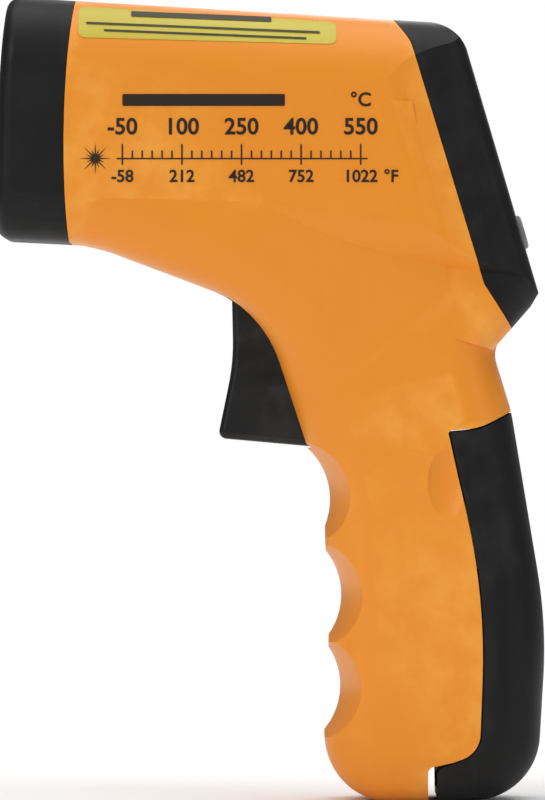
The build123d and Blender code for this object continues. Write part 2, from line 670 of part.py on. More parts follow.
def ir_lens():
    """Plano-convex lens, its domed face towards the nose."""
    radius = LENS_DIAMETER / 2
    flat = LENS_THICKNESS * 0.45
    dome_height = LENS_THICKNESS - flat
    dome_radius = (radius**2 + dome_height**2) / (2 * dome_height)
    ball = OPTIC * Pos(0, 0, LENS_SEAT + dome_radius) * Sphere(dome_radius)
    return disc(OPTIC, LENS_SEAT, LENS_SEAT + LENS_THICKNESS, radius) & ball


def lens_ring():
    start = LENS_SEAT + LENS_THICKNESS
    return disc(OPTIC, start, start + RING_THICKNESS, LENS_DIAMETER / 2, LENS_DIAMETER / 2 - 1.5)


def optic_start():
    return LENS_SEAT + LENS_THICKNESS + RING_THICKNESS


def optic_tube():
    start = optic_start()
    end = start + OPTIC_TUBE_LENGTH
    outer = LENS_DIAMETER / 2 + OPTIC_TUBE_WALL
    tube = disc(OPTIC, start, end, outer)
    tube -= disc(OPTIC, start - OVER, end - SENSOR_LENGTH, LENS_DIAMETER / 2 - 0.5)
    tube -= disc(OPTIC, start, end + OVER, SENSOR_DIAMETER / 2 + FIT)
    for groove in range(3):
        depth = end - 3.0 - 2.4 * groove
        tube -= disc(OPTIC, depth - 0.8, depth, outer + OVER, outer - 0.7)
    return tube


def thermopile_sensor():
    """Round can with a rim at its rear and four legs."""
    end = optic_start() + OPTIC_TUBE_LENGTH
    can = disc(OPTIC, end - SENSOR_LENGTH, end, SENSOR_DIAMETER / 2)
    can -= disc(OPTIC, end - SENSOR_LENGTH - OVER, end - SENSOR_LENGTH + 0.4, 1.6)
    for angle in range(45, 360, 90):
        leg = Pos(2.5 * math.cos(math.radians(angle)), 2.5 * math.sin(math.radians(angle)), 0)
        can += OPTIC * leg * Pos(0, 0, end + 0.9) * Cylinder(0.25, 1.8)
    return can


def sensor_board():
    end = optic_start() + OPTIC_TUBE_LENGTH
    board = disc(OPTIC, end, end + 1.2, SENSOR_DIAMETER / 2 + 2.4)
    for angle in range(45, 360, 90):
        leg = Pos(2.5 * math.cos(math.radians(angle)), 2.5 * math.sin(math.radians(angle)), 0)
        board -= OPTIC * leg * Pos(0, 0, end) * Cylinder(0.3, 4.0)
    return board


def laser_window():
    return disc(LASER, WINDOW_DEPTH - WINDOW_THICKNESS, WINDOW_DEPTH, WINDOW_RADIUS)


def laser_module():
    end = LASER_START + LASER_LENGTH
    body = disc(LASER, LASER_START, end, LASER_DIAMETER / 2)
    body -= disc(LASER, LASER_START - OVER, LASER_START + 1.5, LASER_DIAMETER / 2 - 1.0)
    body -= disc(LASER, end - 5.5, end - 5.0, LASER_DIAMETER / 2 + OVER, LASER_DIAMETER / 2 - 0.4)
    return body


def laser_holder():
    """Saddle that sits on the optical tube and grips the laser module."""
    start = optic_start() + 0.4
    width = LASER_DIAMETER + 2 * HOLDER_WALL
    drop = LASER_Z - OPTIC_Z
    height = drop + width / 2
    middle = start + HOLDER_LENGTH / 2
    saddle = LASER * Pos(0, width / 2 - height / 2, middle) * Box(width, height, HOLDER_LENGTH)
    seat = LENS_DIAMETER / 2 + OPTIC_TUBE_WALL
    saddle -= disc(OPTIC, start - OVER, start + HOLDER_LENGTH + OVER, seat)
    saddle -= OPTIC * Pos(0, -seat, middle) * Box(width + OVER, 2 * seat, HOLDER_LENGTH + OVER)
    saddle -= disc(LASER, start - OVER, start + HOLDER_LENGTH + OVER, LASER_DIAMETER / 2)
    return saddle


# ---- display housing -----------------------------------------------------------------------------
def button_places():
    return [(step * BUTTON_PITCH, -BUTTON_DROP) for step in (-1, 0, 1)]


def post_places():
    """Screw posts of the display board, between the display's frame and the keys."""
    frame_bottom = DISPLAY_RISE - LCD_HEIGHT / 2 - FIT - LCD_FRAME_WALL
    return [(side * (BOARD_WIDTH / 2 - POST_INSET), frame_bottom - BOARD_SCREW_HEAD - DOOR_GAP) for side in (-1, 1)]


def display_bezel(skin, sleeve, liner):
    solid = skin & slab(bezel_region(), LARGE)
    root = bezel_region() - inset(bezel_region(), SKIRT_WALL)
    band = inset(bezel_region(), -SKIRT_LENGTH) - inset(bezel_region(), SKIRT_WALL)
    solid += lip(sleeve, liner, band, root)
    recess_low = -LCD_WINDOW_THICKNESS - 0.2
    solid -= block(PANEL, 0, DISPLAY_RISE, recess_low, OVER, WINDOW_WIDTH, WINDOW_HEIGHT, 2.0)
    opening = (WINDOW_WIDTH - 2 * WINDOW_LEDGE, WINDOW_HEIGHT - 2 * WINDOW_LEDGE)
    solid -= block(PANEL, 0, DISPLAY_RISE, -WALL - OVER, OVER, *opening, 1.0)
    for x, y in button_places():
        hole = Cylinder(BUTTON_RADIUS + SLIDE_FIT, 4 * WALL)
        solid -= PANEL * Pos(x, y, -WALL) * hole
    for x, y in post_places():
        post = disc(PANEL * Pos(x, y, 0), -BOARD_DEPTH, -WALL / 2, BOARD_SCREW_HEAD, BOARD_SCREW_RADIUS)
        solid += post
    return solid


def lcd_window():
    face = block(
        PANEL, 0, DISPLAY_RISE, -LCD_WINDOW_THICKNESS - 0.2, -0.2,
        WINDOW_WIDTH - 2 * FIT, WINDOW_HEIGHT - 2 * FIT, 2.0 - FIT,
    )
    return face


def lcd_glass():
    top = -WALL - LCD_GAP
    return block(PANEL, 0, DISPLAY_RISE, top - LCD_THICKNESS, top, LCD_WIDTH, LCD_HEIGHT)


def lcd_frame():
    top = -WALL - LCD_GAP
    width, height = LCD_WIDTH + 2 * FIT, LCD_HEIGHT + 2 * FIT
    wall = 2 * LCD_FRAME_WALL
    frame = block(PANEL, 0, DISPLAY_RISE, -BOARD_DEPTH, top, width + wall, height + wall)
    return frame - block(PANEL, 0, DISPLAY_RISE, -BOARD_DEPTH - OVER, top + OVER, width, height)


def backlight():
    top = -WALL - LCD_GAP - LCD_THICKNESS
    height = LCD_HEIGHT - 2 * BACKLIGHT_INSET
    return block(PANEL, 0, DISPLAY_RISE, -BOARD_DEPTH, top, LCD_WIDTH, height)


def zebra_strips():
    """Rubber connector strips between the glass and its board."""
    top = -WALL - LCD_GAP - LCD_THICKNESS
    offset_y = LCD_HEIGHT / 2 - BACKLIGHT_INSET / 2
    strips = [
        block(PANEL, 0, DISPLAY_RISE + side * offset_y, -BOARD_DEPTH, top, LCD_WIDTH - 2.0, BACKLIGHT_INSET - 0.8)
        for side in (-1, 1)
    ]
    return Compound(children=strips)


def display_board():
    board = block(PANEL, 0, 0, -BOARD_DEPTH - BOARD_THICKNESS, -BOARD_DEPTH, BOARD_WIDTH, BOARD_HEIGHT, 1.0)
    for x, y in post_places():
        board -= PANEL * Pos(x, y, -BOARD_DEPTH) * Cylinder(BOARD_SCREW_RADIUS + FIT, 4 * BOARD_THICKNESS)
    return board


def button_switches():
    switches = []
    for x, y in button_places():
        body = block(PANEL, x, y, -BOARD_DEPTH, -BOARD_DEPTH + SWITCH_HEIGHT, SWITCH_SIDE, SWITCH_SIDE, 0.6)
        body -= disc(PANEL * Pos(x, y, 0), -BOARD_DEPTH + 0.8, 0, PLUNGER_RADIUS + FIT)
        switches.append(body)
    return Compound(children=switches)


def plunger_top():
    return -BOARD_DEPTH + SWITCH_HEIGHT + BUTTON_TRAVEL + 0.5


def button_cap(x, y):
    """Key with a slightly domed top, a flange behind the panel and a stem over its switch."""
    frame = PANEL * Pos(x, y, 0)
    cap = disc(frame, -WALL - SLIDE_FIT - BUTTON_FLANGE, BUTTON_PROUD, BUTTON_RADIUS)
    cap = fillet(cap.edges().filter_by(GeomType.CIRCLE).sort_by(Axis.X)[-1], 0.5)
    flange_top = -WALL - SLIDE_FIT
    cap += disc(frame, flange_top - BUTTON_FLANGE, flange_top, BUTTON_RADIUS + 0.8)
    cap += disc(frame, plunger_top() + PLUNGER_GAP, flange_top, 1.2)
    return cap


def switch_plunger(x, y):
    bottom = -BOARD_DEPTH + 0.8 + BUTTON_TRAVEL + 2 * FIT
    return disc(PANEL * Pos(x, y, 0), bottom, plunger_top(), PLUNGER_RADIUS)


# ---- main board ----------------------------------------------------------------------------------
def main_board():
    low, high = GRIP_LENGTH + MAIN_BOARD_LOW, GRIP_LENGTH + MAIN_BOARD_HIGH
    face = outline(
        (MAIN_BOARD_FRONT, low, 1.5),
        (TAB_FRONT, low, 0.5),
        (TAB_FRONT, GRIP_LENGTH + TAB_LOW, 1.0),
        (TAB_REAR, GRIP_LENGTH + TAB_LOW, 1.0),
        (TAB_REAR, low, 0.5),
        (MAIN_BOARD_REAR, low + 3.0, 0.5),
        (MAIN_BOARD_REAR, high, 1.5),
        (MAIN_BOARD_FRONT, high, 1.5),
    )
    board = slab_between(face, MAIN_BOARD_Y - BOARD_THICKNESS, MAIN_BOARD_Y)
    for x, z in BOARD_SCREW_PLACES:
        board -= rod_y(x, z, BOARD_SCREW_RADIUS + FIT, MAIN_BOARD_Y - 4.0, MAIN_BOARD_Y + 2.0)
    return board


def on_board(x, z, width, height, thickness):
    """Component that stands on the main board's face."""
    return slab_between(Pos(x, z) * Rectangle(width, height), MAIN_BOARD_Y, MAIN_BOARD_Y + thickness)


def main_chips():
    chips = [
        on_board(-21.0, GRIP_LENGTH + 22.0, 10.0, 10.0, 1.4),
        on_board(-21.0, GRIP_LENGTH + 33.0, 6.0, 4.0, 1.5),
        on_board(-8.0, GRIP_LENGTH + 5.5, 3.2, 1.6, 1.0),
        on_board(-30.5, GRIP_LENGTH + 20.0, 2.4, 6.0, 1.2),
    ]
    chips += [on_board(-28.0 + 3.0 * step, GRIP_LENGTH + 14.0, 1.0, 2.0, 0.7) for step in range(5)]
    return Compound(children=chips)


def buzzer():
    x, z = -8.0, GRIP_LENGTH + 29.5
    body = rod_y(x, z, 5.0, MAIN_BOARD_Y, MAIN_BOARD_Y + 3.6)
    return body - rod_y(x, z, 0.9, MAIN_BOARD_Y + 2.6, MAIN_BOARD_Y + 5.0)


def board_screws():
    group = []
    for x, z in BOARD_SCREW_PLACES:
        head = rod_y(x, z, BOARD_SCREW_HEAD, MAIN_BOARD_Y, MAIN_BOARD_Y + 1.2)
        group.append(head + rod_y(x, z, BOARD_SCREW_RADIUS, MAIN_BOARD_Y - 7.0, MAIN_BOARD_Y))
    for x, y in post_places():
        frame = PANEL * Pos(x, y, 0)
        back = -BOARD_DEPTH - BOARD_THICKNESS
        screw = disc(frame, back - 1.2, back, BOARD_SCREW_HEAD)
        group.append(screw + disc(frame, back, -WALL - 1.5, BOARD_SCREW_RADIUS))
    return Compound(children=group)


def display_ribbon():
    """Flat cable from the main board to the display board."""
    z = GRIP_LENGTH + 20.0
    y = MAIN_BOARD_Y + 2.0
    front = MAIN_BOARD_REAR - 3.0
    strip = slab_between(Pos(front + 10.0, z) * Rectangle(20.0, 8.0), y, y + 0.3)
    behind = PANEL * Pos(0, 0, -BOARD_DEPTH - BOARD_THICKNESS + 20.0) * Box(200, 200, 40.0)
    return strip - behind


def ribbon_socket():
    z = GRIP_LENGTH + 20.0
    return slab_between(Pos(MAIN_BOARD_REAR - 3.0, z) * Rectangle(4.0, 9.0), MAIN_BOARD_Y, MAIN_BOARD_Y + 2.0)


def trigger_switch():
    """Switch on the main board's lower tab, its plunger facing the trigger."""
    z = TRIGGER_PIVOT_Z - SPUR_DROP * 2
    body = slab_between(Pos(TAB_FRONT + 3.6, z) * Rectangle(7.2, 5.6), MAIN_BOARD_Y, MAIN_BOARD_Y + 5.6)
    bore = Pos(TAB_FRONT, MAIN_BOARD_Y + 2.8, z) * Rot(0, 90, 0) * Cylinder(PLUNGER_RADIUS + FIT, 9.0)
    return body - bore


def trigger_plunger():
    z = TRIGGER_PIVOT_Z - SPUR_DROP * 2
    start, end = SPUR_X + 0.3, TAB_FRONT + 2.4
    middle = Pos((start + end) / 2, MAIN_BOARD_Y + 2.8, z)
    return middle * Rot(0, 90, 0) * Cylinder(PLUNGER_RADIUS, end - start)


# ---- wires ---------------------------------------------------------------------------------------
def wire(points, radius=WIRE_RADIUS):
    """Insulated wire: straight runs joined by arcs as large as the runs allow."""
    route = [Vector(*point) for point in points]
    radii = []
    for before, here, after in zip(route, route[1:], route[2:]):
        turn = (here - before).get_angle(after - here)
        shorter = min((here - before).length, (after - here).length)
        radii.append(0.45 * shorter / math.tan(math.radians(turn / 2)))
    path = FilletPolyline(*route, radius=radii)
    start = Plane(origin=path @ 0, z_dir=path % 0)
    return sweep(start * Circle(radius), path=path)


def battery_lead(side):
    top = BATTERY * Pos(side * LEAD_Y, BATTERY_HEIGHT + TERMINAL_HEIGHT + SNAP_HEIGHT, -6.0)
    start = top.position
    return wire((
        (start.X, start.Y, start.Z),
        (LEAD_X, side * LEAD_Y, start.Z + 3.0),
        (LEAD_X, side * LEAD_Y, DOOR_TOP + 8.0),
        (-2.0, side * LEAD_Y - 2.0, GRIP_LENGTH - 6.0),
        (-3.0 - side * 1.2, MAIN_BOARD_Y + 3.0, GRIP_LENGTH - 3.5),
        (-3.0 - side * 1.2, MAIN_BOARD_Y, GRIP_LENGTH - 3.5),
    ))


def sensor_wires():
    end = -NOSE_REACH + optic_start() + OPTIC_TUBE_LENGTH + 1.2
    wires = []
    for side in (-1, 1):
        z = OPTIC_Z + side * 1.5
        wires.append(wire((
            (end, side, z),
            (end + 4.0, side, z),
            (end + 5.5, -3.0, z + side),
            (end + 5.5, MAIN_BOARD_Y, z + side),
        ), WIRE_RADIUS * 0.7))
    return Compound(children=wires)


def laser_wires():
    start = -NOSE_REACH + LASER_START + LASER_LENGTH
    wires = []
    for side in (-1, 1):
        wires.append(wire((
            (start, side, LASER_Z),
            (start + 10.0, side, LASER_Z - 1.0),
            (MAIN_BOARD_FRONT + 6.0, side - 2.0, GRIP_LENGTH + 40.0),
            (MAIN_BOARD_FRONT + 9.0 + side, -5.0, GRIP_LENGTH + 38.0),
            (MAIN_BOARD_FRONT + 9.0 + side, MAIN_BOARD_Y, GRIP_LENGTH + 38.0),
        ), WIRE_RADIUS * 0.7))
    return Compound(children=wires)


# ---- trigger -------------------------------------------------------------------------------------
def trigger():
    half = TRIGGER_WIDTH / 2
    solid = slab(trigger_face(), TRIGGER_WIDTH)
    seeds = [solid.edges().sort_by_distance((-34.5, side * half, GRIP_LENGTH - 17.0))[0] for side in (-1, 1)]
    solid = fillet(seeds, TRIGGER_EDGE_RADIUS)
    hollow = outline(
        (-31.2, GRIP_LENGTH - 4.0, 1.5),
        (-31.2, GRIP_LENGTH - 10.0, 30),
        (-33.6, TRIGGER_LOW + 2.0, 1.0),
        (-5.0, TRIGGER_LOW - 0.8, 0),
        (-5.0, GRIP_LENGTH - 4.0, 0),
    )
    solid -= slab(hollow, TRIGGER_WIDTH - 2 * TRIGGER_WALL)
    pin_bore = TRIGGER_PIN_RADIUS + PIN_FIT
    spur_z = TRIGGER_PIVOT_Z - SPUR_DROP * 2
    spur = Pos((SPUR_X - 24.0) / 2, spur_z) * Rectangle(SPUR_X + 24.0, SPUR_HEIGHT)
    solid += slab_between(spur, -half, MAIN_BOARD_Y + 4.6)
    return solid - rod_y(TRIGGER_PIVOT_X, TRIGGER_PIVOT_Z, pin_bore, -half - OVER, half + OVER)


def trigger_pin():
    reach = TRIGGER_PIN_LENGTH / 2
    return rod_y(TRIGGER_PIVOT_X, TRIGGER_PIVOT_Z, TRIGGER_PIN_RADIUS, -reach, reach)


def trigger_spring():
    """Compression spring between the trigger's hollow and the rib behind it."""
    height = SPRING_END - SPRING_START - 2 * SPRING_WIRE
    coil = Helix(height / SPRING_TURNS, height, SPRING_RADIUS)
    section = Plane(origin=coil @ 0, z_dir=coil % 0) * Circle(SPRING_WIRE / 2)
    solid = sweep(section, path=coil, is_frenet=True)
    place = Pos(SPRING_START + SPRING_WIRE, SPRING_Y, GRIP_LENGTH - SPRING_DROP)
    return place * Rot(0, 90, 0) * solid


# ---- battery, its snap and its door --------------------------------------------------------------
def battery():
    profile = RectangleRounded(BATTERY_WIDTH, BATTERY_THICKNESS, BATTERY_EDGE_RADIUS)
    frame = Plane(origin=BATTERY.origin, x_dir=BATTERY.x_dir, z_dir=BATTERY.y_dir)
    return extrude(frame * profile, BATTERY_HEIGHT)


def upright_on_battery(side, low, high, radius):
    frame = Plane(origin=BATTERY.origin, x_dir=BATTERY.x_dir, z_dir=BATTERY.y_dir)
    middle = Pos(side * TERMINAL_PITCH / 2, 0, (low + high) / 2)
    return frame * middle * Cylinder(radius, high - low)


def battery_terminals():
    top = BATTERY_HEIGHT
    posts = [upright_on_battery(side, top, top + TERMINAL_HEIGHT, radius) for side, radius in ((-1, 2.8), (1, 3.9))]
    return Compound(children=posts)


def battery_snap():
    top = BATTERY_HEIGHT
    frame = Plane(origin=BATTERY.origin, x_dir=BATTERY.x_dir, z_dir=BATTERY.y_dir)
    cap = extrude(
        frame * Pos(0, 0, top + 0.6) * RectangleRounded(BATTERY_WIDTH - 1.0, 12.6, 3.0),
        TERMINAL_HEIGHT + SNAP_HEIGHT - 0.6,
    )
    for side, radius in ((-1, 2.8), (1, 3.9)):
        cap -= upright_on_battery(side, top - OVER, top + TERMINAL_HEIGHT, radius + FIT)
    return cap


def battery_door(outer, skin):
    solid = skin & slab(door_region(DOOR_GAP), LARGE)
    rim = (door_region(DOOR_GAP) - door_region(DOOR_GAP + 1.6)) & Pos(0, 0) * Rectangle(2 * 9.6, 40)
    solid += slab(rim, LARGE) & outer
    gusset = outline(
        (HINGE_X - KNUCKLE_RADIUS, -OVER, 0),
        (HINGE_X + KNUCKLE_RADIUS, -OVER, 0),
        (HINGE_X + KNUCKLE_RADIUS, HINGE_Z, 0),
        (HINGE_X - KNUCKLE_RADIUS, HINGE_Z, 0),
    )
    lug_low = LUG_Y - LUG_THICKNESS / 2 - DOOR_GAP
    lug_high = LUG_Y + LUG_THICKNESS / 2 + DOOR_GAP
    outer_end = HINGE_PIN_LENGTH / 2 + 1.5
    for low, high in ((-lug_low, lug_low), (lug_high, outer_end), (-outer_end, -lug_high)):
        knuckle = rod_y(HINGE_X, HINGE_Z, KNUCKLE_RADIUS, low, high) + slab_between(gusset, low, high)
        solid += knuckle & outer
    way = outline(
        (-5.0, HINGE_Z - LUG_RADIUS, 0),
        (HINGE_X + LUG_RADIUS + DOOR_GAP, HINGE_Z - LUG_RADIUS, 0),
        (HINGE_X + LUG_RADIUS + DOOR_GAP, 14.0, 0),
        (-5.0, 14.0, 0),
    )
    for side in (-1, 1):
        low, high = sorted((side * lug_low, side * lug_high))
        solid -= slab_between(way, low, high)
    bore = HINGE_PIN_RADIUS + PIN_FIT
    solid -= rod_y(HINGE_X, HINGE_Z, bore, -HINGE_PIN_LENGTH / 2 - FIT, HINGE_PIN_LENGTH / 2 + FIT)
    return solid - toe_corner()


def toe_corner():
    """What the toe loses at its lower front corner, so that it can swing inside its slot."""
    front = DOOR_FRONT - TOE_GAP
    below = outline((front, -OVER, 0), (HINGE_X, -OVER, 0), (HINGE_X, HINGE_Z, 0), (front, HINGE_Z, 0))
    swing = Pos(HINGE_X, HINGE_Z) * Circle(HINGE_X - front - FIT)
    return slab(below - swing, GRIP_WIDTH + 2 * OVER)


def door_hinge_pin():
    return rod_y(HINGE_X, HINGE_Z, HINGE_PIN_RADIUS, -HINGE_PIN_LENGTH / 2, HINGE_PIN_LENGTH / 2)


def door_pad(cavity):
    """Foam strip inside the door that keeps the battery from rattling."""
    return (Pos(22.4, 0, 34.0) * Box(4.0, 12.0, 18.0)) & cavity


# ---- assembly ------------------------------------------------------------------------------------
def build():
    outer = outer_form()
    cavity = form(WALL)
    skin = outer - cavity
    sleeve_outer = form(WALL + FIT)
    sleeve_inner = form(WALL + FIT + SKIRT_WALL)
    sleeve = sleeve_outer - sleeve_inner
    liner = cavity - sleeve_inner
    shell = skin - slab(cap_region(SEAM), LARGE) - slab(bezel_region(-SEAM), LARGE)
    shell -= slab(door_opening(), LARGE)
    shell -= slab(trigger_slot(), TRIGGER_WIDTH + 2 * SLOT_GAP)
    nodes = {
        "left_shell": half_shell(shell, outer, -1),
        "right_shell": half_shell(shell, outer, 1),
        "housing_screws": housing_screws(),
        "nose_cap": nose_cap(skin, sleeve, liner),
        "ir_lens": ir_lens(),
        "lens_ring": lens_ring(),
        "optic_tube": optic_tube(),
        "thermopile_sensor": thermopile_sensor(),
        "sensor_board": sensor_board(),
        "laser_window": laser_window(),
        "laser_module": laser_module(),
        "laser_holder": laser_holder(),
        "display_bezel": display_bezel(skin, sleeve, liner),
        "lcd_window": lcd_window(),
        "lcd_glass": lcd_glass(),
        "lcd_frame": lcd_frame(),
        "backlight": backlight(),
        "zebra_strips": zebra_strips(),
        "display_board": display_board(),
        "button_switches": button_switches(),
        "main_board": main_board(),
        "main_chips": main_chips(),
        "buzzer": buzzer(),
        "board_screws": board_screws(),
        "display_ribbon": display_ribbon(),
        "ribbon_socket": ribbon_socket(),
        "trigger_switch": trigger_switch(),
        "trigger_plunger": trigger_plunger(),
        "sensor_wires": sensor_wires(),
        "laser_wires": laser_wires(),
        "battery_lead_red": battery_lead(1),
        "battery_lead_black": battery_lead(-1),
        "trigger": trigger(),
        "trigger_pin": trigger_pin(),
        "trigger_spring": trigger_spring(),
        "battery": battery(),
        "battery_terminals": battery_terminals(),
        "battery_snap": battery_snap(),
        "battery_door": battery_door(outer, skin),
        "door_hinge_pin": door_hinge_pin(),
        "door_pad": door_pad(cavity),
    }
    for name, (x, y) in zip(("laser", "backlight", "units"), button_places()):
        nodes[f"{name}_button"] = button_cap(x, y)
        nodes[f"{name}_plunger"] = switch_plunger(x, y)
    return nodes


os.makedirs("parts", exist_ok=True)
for name, solid in build().items():
    export_step(solid, f"parts/{name}.step")
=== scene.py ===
import json
import math

import bmesh
import bpy
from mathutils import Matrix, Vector


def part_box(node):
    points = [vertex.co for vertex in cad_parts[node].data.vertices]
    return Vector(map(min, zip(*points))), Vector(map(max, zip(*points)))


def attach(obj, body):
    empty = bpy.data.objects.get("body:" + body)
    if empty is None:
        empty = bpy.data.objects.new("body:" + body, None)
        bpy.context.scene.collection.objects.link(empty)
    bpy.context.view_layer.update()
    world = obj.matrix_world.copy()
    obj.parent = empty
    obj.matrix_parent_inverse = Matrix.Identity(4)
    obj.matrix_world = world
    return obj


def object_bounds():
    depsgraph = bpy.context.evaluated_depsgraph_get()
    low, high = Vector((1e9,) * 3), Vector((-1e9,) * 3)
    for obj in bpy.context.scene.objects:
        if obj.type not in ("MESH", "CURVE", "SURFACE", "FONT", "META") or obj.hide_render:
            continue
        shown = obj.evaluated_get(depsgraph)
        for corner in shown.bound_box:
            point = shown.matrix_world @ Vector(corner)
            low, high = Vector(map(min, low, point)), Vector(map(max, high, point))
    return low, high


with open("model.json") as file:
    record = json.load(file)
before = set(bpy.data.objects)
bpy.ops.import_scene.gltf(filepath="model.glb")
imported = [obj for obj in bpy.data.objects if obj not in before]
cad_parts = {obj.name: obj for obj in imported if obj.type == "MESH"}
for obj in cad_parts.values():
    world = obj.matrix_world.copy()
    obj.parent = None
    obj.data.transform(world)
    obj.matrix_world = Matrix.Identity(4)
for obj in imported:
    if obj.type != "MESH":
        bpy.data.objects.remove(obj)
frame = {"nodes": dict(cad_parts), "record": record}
cad_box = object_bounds()
nodes = frame["nodes"]
MM = 0.001

# Axes of the frame: nose along -X, up +Z, the left side on -Y. Lengths in this block are in metres.
ACROSS = Vector((0, 1, 0))
PANEL_TILT = math.radians(16.4)
PANEL_OUT = Vector((math.cos(PANEL_TILT), 0, math.sin(PANEL_TILT)))
PANEL_UP = Vector((-math.sin(PANEL_TILT), 0, math.cos(PANEL_TILT)))

# Print on the body: nodes that a ray may meet, how print stands off and how fine it is cut.
SURFACES = ("left_shell", "right_shell", "nose_cap", "display_bezel", "battery_door")
CAST_FROM = 0.05            # distance of a ray's start from the middle plane
SEAM_NUDGE = 0.3 * MM       # moves a ray aside from the gap at a seam
PRINT_LIFT = 0.1 * MM
PRINT_SPACING = 1.2 * MM
TEXT_SPACING = 3.0 * MM
PANEL_LIFT = 0.05 * MM
CAPITAL = 0.73              # height of a capital in a font of size 1
BOLD = 0.02                 # outline added to figures, in a font of size 1

# Side view sizes in millimetres; a box is its x and z at one corner, then at the opposite one.
LABEL = (-61.7, 141.9, -14.0, 147.9)
LABEL_CORNER = 1.3
LABEL_SLOPES = (-0.026, -0.062)
LABEL_BARS = ((-52.0, 145.9, -26.0, 146.9), (-60.3, 144.4, -17.0, 144.8), (-57.0, 143.0, -19.5, 143.4))
BAR_SLOPE = -0.04
BAR_CORNER = 0.2
CORNER_PARTS = 2.2          # a bar's corner is at most its side over this
RAY_MARK = (-58.5, 119.5)
LONG_RAY, SHORT_RAY, RAY_DOT = 3.0, 1.9, 0.75
SCALE_LINE = (-54.6, 119.35, -8.2, 119.6)
SCALE_START, SCALE_LENGTH = -53.5, 44.0
TICKS = 24
LONG_EVERY = 6
LONG_TICK, SHORT_TICK, TICK_HALF = 2.6, 1.4, 0.14
LOW_TICK = (118.3, 119.4)
SCALE_BAND = (SCALE_START, 129.2, SCALE_START + 30.0, 131.4)

# Numbers of each scale, their base line and height, then each unit's place past the scale's end.
SCALES = (
    ("celsius", ("-50", "100", "250", "400", "550"), 124.0, 3.1),
    ("fahrenheit", ("-58", "212", "482", "752", "1022"), 115.2, 2.3),
)
UNITS = (("celsius", "\u00b0C", 0.0, 129.2, 2.6), ("fahrenheit", "\u00b0F", 5.6, 115.2, 2.3))

# Display: places from the glass's middle, the figures' sizes in metres and the rest in millimetres.
READING = "246"
SEGMENTS = {"2": "abged", "4": "fgbc", "6": "afgecd"}
DIGIT_WIDTH, DIGIT_HEIGHT, DIGIT_STROKE = 3.9 * MM, 8.0 * MM, 1.15 * MM
DIGIT_FOOT = -3.6 * MM
TIP_GAP = 0.12              # gap at a segment's tip, as a share of its stroke
DIGIT_START, DIGIT_PITCH = -9.4, 6.0
DISPLAY_MARKS = ((1.05, -4.1, 1.95, -3.2), (-9.6, 6.7, -6.4, 7.9), (6.6, 6.7, 9.6, 7.9))
LOW_SEGMENTS = 6
LOW_START, LOW_PITCH, LOW_LENGTH = -9.4, 2.0, 1.3
LOW_ROW = (-7.4, -6.7)
SYMBOL_DROP = 5.9 * MM      # from a key's centre down to its symbol
UNITS_DROP = 6.6 * MM

# Floor, light and view, in metres.
FLOOR_RADIUS = 0.7
AMBIENT = 0.22
SENSOR_WIDTH = 36.0
DISTANCE = 1.4
VIEW_WIDTH = 0.1021875
VIEW_X, VIEW_Z = -0.02578125, 0.07490625


